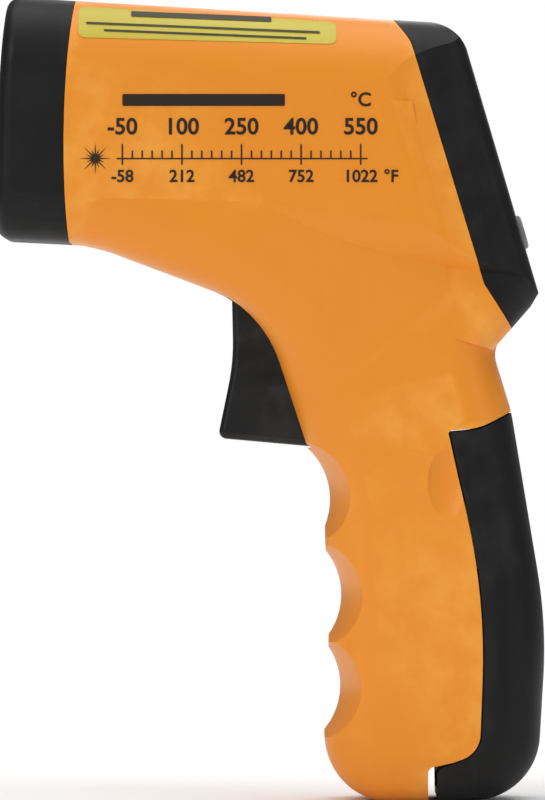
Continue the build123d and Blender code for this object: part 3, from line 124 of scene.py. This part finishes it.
# ---- node helpers --------------------------------------------------------------------------------
class Graph:
    """A material's node tree with short calls for the nodes used here."""

    def __init__(self, name):
        self.material = bpy.data.materials.new(name)
        self.material.use_nodes = True
        self.tree = self.material.node_tree
        self.tree.nodes.clear()
        self.output = self.tree.nodes.new("ShaderNodeOutputMaterial")
        self.shader = self.tree.nodes.new("ShaderNodeBsdfPrincipled")
        self.tree.links.new(self.shader.outputs[0], self.output.inputs[0])
        self.coords = self.tree.nodes.new("ShaderNodeTexCoord").outputs["Object"]

    def link(self, source, target):
        self.tree.links.new(source, target)
        return target

    def put(self, node, name, value):
        socket = node.inputs[name]
        if isinstance(value, bpy.types.NodeSocket):
            self.link(value, socket)
        else:
            socket.default_value = value

    def node(self, kind, **inputs):
        made = self.tree.nodes.new(kind)
        for name, value in inputs.items():
            self.put(made, name.replace("_", " "), value)
        return made

    def noise(self, scale, detail=4.0, rough=0.6, distortion=0.0, vector=None):
        settings = {"Scale": scale, "Detail": detail, "Roughness": rough, "Distortion": distortion}
        made = self.node("ShaderNodeTexNoise", **settings)
        self.link(vector or self.coords, made.inputs["Vector"])
        return made.outputs["Fac"]

    def stretched(self, scale):
        made = self.tree.nodes.new("ShaderNodeMapping")
        made.inputs["Scale"].default_value = scale
        self.link(self.coords, made.inputs["Vector"])
        return made.outputs[0]

    def voronoi(self, scale, feature="F1"):
        made = self.tree.nodes.new("ShaderNodeTexVoronoi")
        made.feature = feature
        made.inputs["Scale"].default_value = scale
        self.link(self.coords, made.inputs["Vector"])
        return made.outputs["Distance"]

    def ranged(self, value, low, high, to_low, to_high):
        made = self.tree.nodes.new("ShaderNodeMapRange")
        self.link(value, made.inputs["Value"])
        for name, number in zip(("From Min", "From Max", "To Min", "To Max"), (low, high, to_low, to_high)):
            made.inputs[name].default_value = number
        return made.outputs["Result"]

    def math(self, operation, a, b=0.0):
        made = self.tree.nodes.new("ShaderNodeMath")
        made.operation = operation
        for index, value in enumerate((a, b)):
            if isinstance(value, bpy.types.NodeSocket):
                self.link(value, made.inputs[index])
            else:
                made.inputs[index].default_value = value
        return made.outputs[0]

    def mix(self, factor, a, b):
        made = self.tree.nodes.new("ShaderNodeMix")
        made.data_type = "RGBA"
        for socket, value in ((made.inputs[0], factor), (made.inputs[6], a), (made.inputs[7], b)):
            if isinstance(value, bpy.types.NodeSocket):
                self.link(value, socket)
            else:
                socket.default_value = value
        return made.outputs[2]

    def edges(self, low=0.51, high=0.56):
        """Where the surface is convex: worn or rubbed edges."""
        pointy = self.tree.nodes.new("ShaderNodeNewGeometry").outputs["Pointiness"]
        return self.ranged(pointy, low, high, 0.0, 1.0)

    def set(self, **inputs):
        for name, value in inputs.items():
            self.put(self.shader, name.replace("_", " "), value)
        return self

    def bump(self, height, strength, distance):
        made = self.tree.nodes.new("ShaderNodeBump")
        made.inputs["Strength"].default_value = strength
        made.inputs["Distance"].default_value = distance
        self.link(height, made.inputs["Height"])
        self.link(made.outputs[0], self.shader.inputs["Normal"])
        return self


def rgb(r, g, b):
    return (r, g, b, 1.0)


# ---- materials -----------------------------------------------------------------------------------
def moulded(name, colour, shade, rough=(0.42, 0.55), grain=2600.0, wear=None, specular=0.45):
    """Injection-moulded plastic: fine spark-eroded grain, faint flow variation and rubbed edges."""
    g = Graph(name)
    cloud = g.noise(28.0, 3.0)
    tint = g.mix(g.ranged(cloud, 0.3, 0.7, 0.0, 1.0), colour, shade)
    dust = g.ranged(g.noise(420.0, 6.0, 0.7), 0.62, 0.78, 0.0, 0.25)
    if wear:
        patches = g.ranged(g.noise(160.0), 0.4, 0.7, 0.1, 0.6)
        tint = g.mix(g.math("MULTIPLY", g.edges(), patches), tint, wear)
    low, high = rough
    smudge = g.ranged(g.noise(60.0, 5.0, 0.65, 0.6), 0.3, 0.72, low, high)
    g.set(Base_Color=tint, Roughness=g.math("ADD", smudge, g.math("MULTIPLY", dust, 0.3)))
    g.set(**{"Specular_IOR_Level": specular})
    pits = g.math("ADD", g.noise(grain, 2.0, 0.5), g.math("MULTIPLY", g.voronoi(grain * 0.8), 0.6))
    return g.bump(pits, 0.55, 0.03 * MM).material


def metal(name, colour, rough=(0.24, 0.4), brushed=(1.0, 1.0, 30.0)):
    """Bare metal with brushed lines and light tarnish."""
    g = Graph(name)
    lines = g.noise(900.0, 3.0, 0.6, vector=g.stretched(brushed))
    stain = g.noise(140.0, 4.0)
    tarnish = rgb(colour[0] * 0.6, colour[1] * 0.57, colour[2] * 0.5)
    tint = g.mix(g.ranged(stain, 0.35, 0.75, 0.0, 0.5), colour, tarnish)
    g.set(Base_Color=tint, Metallic=1.0, Roughness=g.ranged(lines, 0.3, 0.7, *rough))
    return g.bump(lines, 0.35, 0.00002).material


def glassy(name, colour, rough, transmission, ior=1.49):
    """Clear or tinted glass with smears."""
    g = Graph(name)
    smear = g.ranged(g.noise(90.0, 5.0, 0.7, 1.2), 0.45, 0.75, rough, rough + 0.1)
    g.set(Base_Color=colour, Roughness=smear, IOR=ior)
    g.set(**{"Transmission_Weight": transmission})
    return g.bump(g.noise(35.0, 2.0), 0.06, 0.00004).material


def rubbery(name, colour, shade):
    """Matt rubber or foam."""
    g = Graph(name)
    tint = g.mix(g.ranged(g.noise(300.0), 0.35, 0.7, 0.0, 1.0), colour, shade)
    g.set(Base_Color=tint, Roughness=g.ranged(g.noise(500.0), 0.3, 0.7, 0.55, 0.8))
    g.set(**{"Specular_IOR_Level": 0.35})
    return g.bump(g.noise(2400.0, 3.0), 0.5, 0.00003).material


def board_material():
    """Solder mask over the faint relief of copper tracks."""
    g = Graph("circuit_board")
    cells = g.voronoi(420.0, "DISTANCE_TO_EDGE")
    tracks = g.ranged(cells, 0.02, 0.05, 1.0, 0.0)
    tint = g.mix(g.math("MULTIPLY", tracks, 0.5), rgb(0.012, 0.12, 0.05), rgb(0.04, 0.28, 0.11))
    g.set(Base_Color=tint, Roughness=g.ranged(g.noise(200.0), 0.3, 0.7, 0.28, 0.42))
    return g.bump(tracks, 0.4, 0.00003).material


def jacket_material():
    """Printed metal sleeve of the battery: dark with a bare band round its top."""
    g = Graph("battery_jacket")
    split = g.tree.nodes.new("ShaderNodeSeparateXYZ")
    g.link(g.coords, split.inputs[0])
    band = g.ranged(split.outputs["Z"], 0.0435, 0.0437, 0.0, 1.0)
    tint = g.mix(band, rgb(0.03, 0.035, 0.045), rgb(0.55, 0.42, 0.14))
    g.set(Base_Color=tint, Metallic=0.6, Roughness=g.ranged(g.noise(120.0), 0.3, 0.7, 0.22, 0.4))
    return g.bump(g.noise(1500.0), 0.2, 0.00002).material


def lcd_material():
    """Reflective display glass: pale green-grey, clouded faintly with a slightly darker tint."""
    g = Graph("lcd_glass")
    tint = g.mix(g.ranged(g.noise(40.0), 0.3, 0.7, 0.0, 1.0), rgb(0.36, 0.40, 0.31), rgb(0.33, 0.37, 0.285))
    g.set(Base_Color=tint, Roughness=g.ranged(g.noise(600.0), 0.3, 0.7, 0.16, 0.26))
    return g.bump(g.noise(3000.0, 2.0), 0.15, 0.00001).material


ORANGE = rgb(0.86, 0.29, 0.02)
ORANGE_SHADE = rgb(0.84, 0.275, 0.018)
BLACK = rgb(0.0045, 0.0045, 0.0045)
BLACK_SHADE = rgb(0.0075, 0.0074, 0.0072)

looks = {
    "shell_orange": moulded(
        "orange_abs", ORANGE, ORANGE_SHADE, (0.36, 0.47),
        wear=rgb(0.95, 0.42, 0.06), specular=0.35,
    ),
    "cover_black": moulded(
        "black_abs", BLACK, BLACK_SHADE, (0.42, 0.55),
        wear=rgb(0.02, 0.02, 0.02), specular=0.22,
    ),
    "trigger_black": moulded(
        "trigger_plastic", BLACK, BLACK_SHADE, (0.32, 0.45),
        wear=rgb(0.04, 0.04, 0.04), specular=0.3,
    ),
    "inner_black": moulded("inner_plastic", rgb(0.012, 0.012, 0.012), rgb(0.02, 0.02, 0.02), (0.5, 0.65)),
    "lens": glassy("lens_dark", rgb(0.35, 0.16, 0.2), 0.03, 0.55, 1.9),
    "laser_glass": glassy("laser_window", rgb(0.5, 0.05, 0.05), 0.04, 0.6),
    "window": glassy("clear_window", rgb(0.93, 0.95, 0.94), 0.02, 1.0),
    "diffuser": moulded("diffuser", rgb(0.8, 0.82, 0.76), rgb(0.74, 0.76, 0.7), (0.3, 0.4)),
    "key_grey": rubbery("key_rubber", rgb(0.3, 0.31, 0.32), rgb(0.25, 0.26, 0.27)),
    "elastomer": rubbery("elastomer", rgb(0.28, 0.26, 0.23), rgb(0.2, 0.19, 0.17)),
    "foam": rubbery("foam", rgb(0.04, 0.04, 0.04), rgb(0.06, 0.06, 0.06)),
    "board": board_material(),
    "chip": moulded("chip_epoxy", rgb(0.015, 0.015, 0.016), rgb(0.025, 0.025, 0.026), (0.45, 0.6)),
    "switch_black": moulded("switch_plastic", rgb(0.02, 0.02, 0.02), rgb(0.03, 0.03, 0.03), (0.35, 0.5)),
    "plunger": moulded("plunger_plastic", rgb(0.6, 0.56, 0.45), rgb(0.52, 0.48, 0.38), (0.35, 0.5)),
    "socket": moulded("socket_plastic", rgb(0.66, 0.62, 0.5), rgb(0.6, 0.56, 0.44), (0.35, 0.5)),
    "ribbon": moulded("ribbon_film", rgb(0.5, 0.24, 0.05), rgb(0.44, 0.2, 0.04), (0.2, 0.3)),
    "steel": metal("steel", rgb(0.62, 0.62, 0.61)),
    "nickel": metal("nickel", rgb(0.7, 0.68, 0.62), (0.14, 0.28)),
    "brass": metal("brass", rgb(0.78, 0.55, 0.2)),
    "wire_red": moulded("wire_red", rgb(0.5, 0.015, 0.012), rgb(0.42, 0.012, 0.01), (0.35, 0.5)),
    "wire_black": moulded("wire_black", rgb(0.012, 0.012, 0.012), rgb(0.02, 0.02, 0.02), (0.35, 0.5)),
    "wire_blue": moulded("wire_blue", rgb(0.015, 0.06, 0.34), rgb(0.012, 0.05, 0.28), (0.35, 0.5)),
    "battery_jacket": jacket_material(),
    "lcd": lcd_material(),
}


slot_of = {part["node"]: part["material_slot"] for part in frame["record"]["subparts"]}
for name, piece in nodes.items():
    piece.data.materials.clear()
    piece.data.materials.append(looks[slot_of[name]])


# ---- surface print and labels ----------------------------------------------------------------------
def flattened(name, curve):
    """Mesh of a flat curve or text, leaving no object of its own in the scene."""
    flat = bpy.data.objects.new(name, curve)
    bpy.context.scene.collection.objects.link(flat)
    mesh = bpy.data.meshes.new_from_object(flat)
    bpy.data.objects.remove(flat)
    return mesh


def laid(name, mesh, look):
    """Places a finished print or label in the scene, carried by the housing."""
    piece = bpy.data.objects.new(name, mesh)
    bpy.context.scene.collection.objects.link(piece)
    piece.data.materials.append(look)
    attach(piece, "housing")
    return piece


def cast_side(x, z):
    """Point and normal on the left outside of the body at a place in side view."""
    for nudge in (0.0, SEAM_NUDGE, -SEAM_NUDGE):
        origin = Vector((x + nudge, -CAST_FROM, z))
        hits = [nodes[name].ray_cast(origin, ACROSS) for name in SURFACES]
        places = [(place, normal) for hit, place, normal, _ in hits if hit]
        if places:
            place, normal = min(places, key=lambda found: found[0].y)
            return Vector((x, place.y, z)), normal
    raise ValueError(f"no surface at {x:.4f}, {z:.4f}")


def cut_fine(bm, spacing):
    """Cuts a flat figure into narrow strips both ways, so that it can follow a curved surface."""
    for axis in (0, 1):
        values = [vertex.co[axis] for vertex in bm.verts]
        low, high = min(values), max(values)
        steps = max(1, int((high - low) / spacing))
        for step in range(1, steps):
            place = [0.0, 0.0, 0.0]
            normal = [0.0, 0.0, 0.0]
            place[axis] = low + (high - low) * step / steps
            normal[axis] = 1.0
            geometry = bm.verts[:] + bm.edges[:] + bm.faces[:]
            bmesh.ops.bisect_plane(bm, geom=geometry, plane_co=place, plane_no=normal)


def press(name, mesh, look, lift=PRINT_LIFT, spacing=PRINT_SPACING):
    """Presses a flat figure on to the left side, just clear of the surface and facing out."""
    bm = bmesh.new()
    bm.from_mesh(mesh)
    cut_fine(bm, spacing)
    for vertex in bm.verts:
        place, normal = cast_side(vertex.co.x, vertex.co.y)
        vertex.co = place + normal * lift
    bmesh.ops.recalc_face_normals(bm, faces=bm.faces[:])
    if sum(face.normal.y for face in bm.faces) > 0:
        bmesh.ops.reverse_faces(bm, faces=bm.faces[:])
    done = bpy.data.meshes.new(name)
    bm.to_mesh(done)
    bm.free()
    done.shade_smooth()
    return laid(name, done, look)


def wrapped(name, outline, look, lift=PRINT_LIFT):
    """Thin ink or foil inside one outline in side view."""
    curve = bpy.data.curves.new(name + "_flat", "CURVE")
    curve.dimensions = "2D"
    curve.fill_mode = "BOTH"
    spline = curve.splines.new("POLY")
    spline.points.add(len(outline) - 1)
    for point, (x, z) in zip(spline.points, outline):
        point.co = (x, z, 0, 1)
    spline.use_cyclic_u = True
    return press(name, flattened(name + "_flat", curve), look, lift)


def rounded(x0, z0, x1, z1, radius, steps, low_slope=0.0, high_slope=0.0):
    """Rounded rectangle in side view; the slopes tip its lower and upper edges."""
    ring = []
    left, right = x0 + radius, x1 - radius
    low, high = z0 + radius, z1 - radius
    for cx, cz, start in ((right, high, 0), (left, high, 90), (left, low, 180), (right, low, 270)):
        for step in range(steps + 1):
            angle = math.radians(start + 90 * step / steps)
            x = cx + radius * math.cos(angle)
            z = cz + radius * math.sin(angle)
            height = (z - z0) / (z1 - z0)
            ring.append((x, z + (low_slope + height * (high_slope - low_slope)) * (x - x0)))
    return ring


def bar(name, x0, z0, x1, z1, look, lift=PRINT_LIFT, slope=0.0):
    """Printed bar with softened corners, its sides given in millimetres."""
    radius = min(BAR_CORNER, (z1 - z0) / CORNER_PARTS, (x1 - x0) / CORNER_PARTS) * MM
    ring = rounded(x0 * MM, z0 * MM, x1 * MM, z1 * MM, radius, 2, slope, slope)
    return wrapped(name, ring, look, lift)


def text_mesh(name, text, height, bold=0.0):
    """Flat figures of a capital height, centred on x = 0 and standing on y = 0."""
    curve = bpy.data.curves.new(name + "_text", "FONT")
    curve.body = text
    curve.align_x = "CENTER"
    curve.size = 1.0
    curve.offset = bold
    curve.resolution_u = 4
    mesh = flattened(name + "_text", curve)
    for vertex in mesh.vertices:
        vertex.co *= height / CAPITAL
    return mesh


def lettering(name, text, x, z, height):
    """Plain figures printed on the side, centred on x with their base line at z, in millimetres."""
    mesh = text_mesh(name, text, height * MM, BOLD)
    for vertex in mesh.vertices:
        vertex.co.x += x * MM
        vertex.co.y += z * MM
    return press(name, mesh, ink, spacing=TEXT_SPACING)


def burst(name, cx, cz, spokes=16):
    """Ray mark beside the scale: thin rays round a dot, every second one long."""
    ring = []
    for step in range(spokes * 2):
        angle = math.pi * step / spokes
        ray = LONG_RAY if step % 4 == 0 else SHORT_RAY
        radius = (ray if step % 2 == 0 else RAY_DOT) * MM
        ring.append((cx * MM + radius * math.cos(angle), cz * MM + radius * math.sin(angle)))
    return wrapped(name, ring, ink)


ink = moulded("print_ink", rgb(0.02, 0.012, 0.008), rgb(0.03, 0.018, 0.01), (0.35, 0.5), specular=0.3)
foil = moulded("label_foil", rgb(0.62, 0.52, 0.035), rgb(0.56, 0.46, 0.03), (0.3, 0.42), grain=900.0)
label_ink = moulded("label_ink", rgb(0.03, 0.025, 0.01), rgb(0.05, 0.04, 0.015), (0.35, 0.5), specular=0.3)

# The foil label on the shoulder, with blank bars where small print would be.
label = rounded(*(side * MM for side in LABEL), LABEL_CORNER * MM, 6, *LABEL_SLOPES)
wrapped("shoulder_label", label, foil)
for number, sides in enumerate(LABEL_BARS):
    bar(f"label_bar_{number}", *sides, label_ink, lift=2 * PRINT_LIFT, slope=BAR_SLOPE)

# Temperature scale on the side: a ruled line with ticks, plain numbers and a ray mark before it.
burst("ray_mark", *RAY_MARK)
bar("scale_line", *SCALE_LINE, ink)
line_low, line_high = SCALE_LINE[1], SCALE_LINE[3]
for tick in range(TICKS + 1):
    x = SCALE_START + SCALE_LENGTH * tick / TICKS
    is_long = tick % LONG_EVERY == 0
    tall = LONG_TICK if is_long else SHORT_TICK
    bar(f"tick_{tick:02d}", x - TICK_HALF, line_high, x + TICK_HALF, line_high + tall, ink)
    if is_long:
        bar(f"tick_low_{tick:02d}", x - TICK_HALF, LOW_TICK[0], x + TICK_HALF, LOW_TICK[1], ink)
for scale_name, texts, z, height in SCALES:
    for number, text in enumerate(texts):
        x = SCALE_START + SCALE_LENGTH * number / (len(texts) - 1)
        lettering(f"{scale_name}_{number}", text, x, z, height)
for scale_name, text, past_end, z, height in UNITS:
    lettering(f"{scale_name}_unit", text, SCALE_START + SCALE_LENGTH + past_end, z, height)
bar("scale_band", *SCALE_BAND, ink)


# ---- display ----------------------------------------------------------------------------------------
def panel_face(node):
    """Centre of a node's outer face, along the display panel's normal."""
    places = [vertex.co for vertex in nodes[node].data.vertices]
    out = max(place.dot(PANEL_OUT) for place in places)
    ups = [place.dot(PANEL_UP) for place in places]
    return PANEL_OUT * out + PANEL_UP * (min(ups) + max(ups)) / 2


def on_panel(name, mesh, origin, look):
    """Lays a flat figure on the display panel: x across it, y up it."""
    for vertex in mesh.vertices:
        x, y = vertex.co.x, vertex.co.y
        vertex.co = origin + ACROSS * x + PANEL_UP * y + PANEL_OUT * PANEL_LIFT
    return laid(name, mesh, look)


def digit_shapes(figure, x):
    """Seven-segment figure as separate bars with pointed ends, its left foot at x."""
    half = DIGIT_HEIGHT / 2
    lines = {
        "a": ((0, DIGIT_HEIGHT), (DIGIT_WIDTH, DIGIT_HEIGHT)),
        "b": ((DIGIT_WIDTH, half), (DIGIT_WIDTH, DIGIT_HEIGHT)),
        "c": ((DIGIT_WIDTH, 0), (DIGIT_WIDTH, half)),
        "d": ((0, 0), (DIGIT_WIDTH, 0)),
        "e": ((0, 0), (0, half)),
        "f": ((0, half), (0, DIGIT_HEIGHT)),
        "g": ((0, half), (DIGIT_WIDTH, half)),
    }
    shapes = []
    for key in SEGMENTS[figure]:
        start, end = (Vector(point) for point in lines[key])
        along = (end - start).normalized()
        half_stroke = Vector((-along.y, along.x)) * DIGIT_STROKE / 2
        first, last = start + along * DIGIT_STROKE * TIP_GAP, end - along * DIGIT_STROKE * TIP_GAP
        inner = along * DIGIT_STROKE / 2
        upper = (first + inner + half_stroke, last - inner + half_stroke)
        lower = (last - inner - half_stroke, first + inner - half_stroke)
        outline = (first, *upper, last, *lower)
        shapes.append([(x + point.x, DIGIT_FOOT + point.y, 0) for point in outline])
    return shapes


def flat_mesh(name, shapes):
    """Mesh with one face for each flat outline."""
    mesh = bpy.data.meshes.new(name)
    points = [point for shape in shapes for point in shape]
    faces = []
    start = 0
    for shape in shapes:
        faces.append(tuple(range(start, start + len(shape)))[::-1])
        start += len(shape)
    mesh.from_pydata(points, [], faces)
    return mesh


def rect(x0, y0, x1, y1):
    return [(x0, y1, 0), (x1, y1, 0), (x1, y0, 0), (x0, y0, 0)]


def key_centre(node):
    """Centre of a key across the panel and up it, from the middle of the display housing."""
    low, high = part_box(node)
    middle = (low + high) / 2
    return middle.y, middle.dot(PANEL_UP) - bezel.dot(PANEL_UP)


def beam_shapes(x, y):
    """A short beam that ends in a star."""
    shapes = [rect(x - 1.6 * MM, y, x + 0.2 * MM, y + 0.35 * MM)]
    middle = Vector((x + 0.9 * MM, y + 0.17 * MM))
    for step in range(8):
        angle = math.pi * step / 4
        tip = Vector((math.cos(angle), math.sin(angle)))
        side = Vector((-tip.y, tip.x)) * 0.13 * MM
        inner, outer = middle + tip * 0.35 * MM, middle + tip * 1.1 * MM
        corners = (inner + side, outer + side, outer - side, inner - side)
        shapes.append([(point.x, point.y, 0) for point in corners])
    return shapes


def lamp_shapes(x, y):
    """A round bulb over its base."""
    radius, middle = 0.75 * MM, y + 0.3 * MM
    angles = [-math.pi * step / 8 for step in range(16)]
    bulb = [(x + radius * math.cos(angle), middle + radius * math.sin(angle), 0) for angle in angles]
    return [bulb, rect(x - 0.35 * MM, y - 0.95 * MM, x + 0.35 * MM, y - 0.6 * MM)]


# The reading, its decimal point, two marks over it and a row of blank segments under it.
glass = panel_face("lcd_glass")
segments = []
for place, figure in enumerate(READING):
    segments += digit_shapes(figure, (DIGIT_START + DIGIT_PITCH * place) * MM)
for sides in DISPLAY_MARKS:
    segments.append(rect(*(side * MM for side in sides)))
for step in range(LOW_SEGMENTS):
    x = LOW_START + LOW_PITCH * step
    segments.append(rect(x * MM, LOW_ROW[0] * MM, (x + LOW_LENGTH) * MM, LOW_ROW[1] * MM))
on_panel("lcd_segments", flat_mesh("lcd_segments", segments), glass, looks["chip"])
unit = text_mesh("lcd_unit", "\u00b0C", 3.2 * MM, 0.01)
for vertex in unit.vertices:
    vertex.co.x += 8.8 * MM
on_panel("lcd_unit", unit, glass, looks["chip"])

# White key symbols on the display housing, below each key: a beam, a lamp and the two units.
bezel = panel_face("display_bezel")
white = moulded("key_print", rgb(0.62, 0.62, 0.6), rgb(0.56, 0.56, 0.54), (0.4, 0.55))
SYMBOLS = (("beam_symbol", "laser_button", beam_shapes), ("lamp_symbol", "backlight_button", lamp_shapes))
for symbol, key, shapes_at in SYMBOLS:
    x, y = key_centre(key)
    on_panel(symbol, flat_mesh(symbol, shapes_at(x, y - SYMBOL_DROP)), bezel, white)
x, y = key_centre("units_button")
units = text_mesh("unit_symbol", "\u00b0C/\u00b0F", 1.5 * MM)
for vertex in units.vertices:
    vertex.co.x += x
    vertex.co.y += y - UNITS_DROP
on_panel("unit_symbol", units, bezel, white)


# ---- floor, light and camera ------------------------------------------------------------------------
def plain(name, colour, rough):
    """Even matt surface with a barely seen cloud in it."""
    g = Graph(name)
    shade = rgb(*(part * 0.985 for part in colour[:3]))
    g.set(Base_Color=g.mix(g.ranged(g.noise(3.0), 0.3, 0.7, 0.0, 1.0), colour, shade), Roughness=rough)
    return g.material


def floor_sheet():
    """Wide pale floor under the object."""
    mesh = bpy.data.meshes.new("floor")
    bm = bmesh.new()
    bmesh.ops.create_circle(bm, cap_ends=True, segments=96, radius=FLOOR_RADIUS)
    bm.to_mesh(mesh)
    bm.free()
    floor = bpy.data.objects.new("floor", mesh)
    bpy.context.scene.collection.objects.link(floor)
    floor.data.materials.append(plain("paper", rgb(0.95, 0.95, 0.95), 0.8))


def area(name, place, target, size, power):
    """Rectangular light that faces the target; its power is in watts."""
    light = bpy.data.lights.new(name, "AREA")
    light.shape = "RECTANGLE"
    light.size, light.size_y = size
    light.energy = power
    stand = bpy.data.objects.new(name, light)
    bpy.context.scene.collection.objects.link(stand)
    stand.location = place
    stand.rotation_euler = (Vector(target) - Vector(place)).to_track_quat("-Z", "Y").to_euler()


floor_sheet()
body_low, body_high = cad_box
centre = (Vector(body_low) + Vector(body_high)) / 2
area("overhead", (0.0, 0.0, 2.6), centre, (3.2, 3.2), 62.0)
area("key", (-0.75, -1.1, 0.7), centre, (0.5, 0.7), 7.0)
area("fill", (1.1, -0.9, 0.4), centre, (0.6, 0.6), 1.6)
area("rear", (0.3, 1.1, 0.6), centre, (0.7, 0.7), 4.0)

# A white backdrop to the eye, which lights the object less than it looks.
world = bpy.data.worlds.new("world")
world.use_nodes = True
backdrop = world.node_tree.nodes["Background"]
backdrop.inputs[0].default_value = (1.0, 1.0, 1.0, 1.0)
seen = world.node_tree.nodes.new("ShaderNodeLightPath").outputs["Is Camera Ray"]
glow = world.node_tree.nodes.new("ShaderNodeMapRange")
glow.inputs["To Min"].default_value = AMBIENT
glow.inputs["To Max"].default_value = 1.0
world.node_tree.links.new(seen, glow.inputs["Value"])
world.node_tree.links.new(glow.outputs["Result"], backdrop.inputs[1])
bpy.context.scene.world = world
bpy.context.scene.view_settings.view_transform = "Standard"

# Level view of the left side from far off, in line with its middle.
camera_data = bpy.data.cameras.new("camera")
camera_data.lens = SENSOR_WIDTH * DISTANCE / VIEW_WIDTH
camera_data.sensor_width = SENSOR_WIDTH
camera_data.sensor_fit = "HORIZONTAL"
camera_data.clip_end = 20.0
camera = bpy.data.objects.new("camera", camera_data)
bpy.context.scene.collection.objects.link(camera)
camera.location = (VIEW_X, -DISTANCE, VIEW_Z)
camera.rotation_euler = (math.pi / 2, 0, 0)
bpy.context.scene.camera = camera
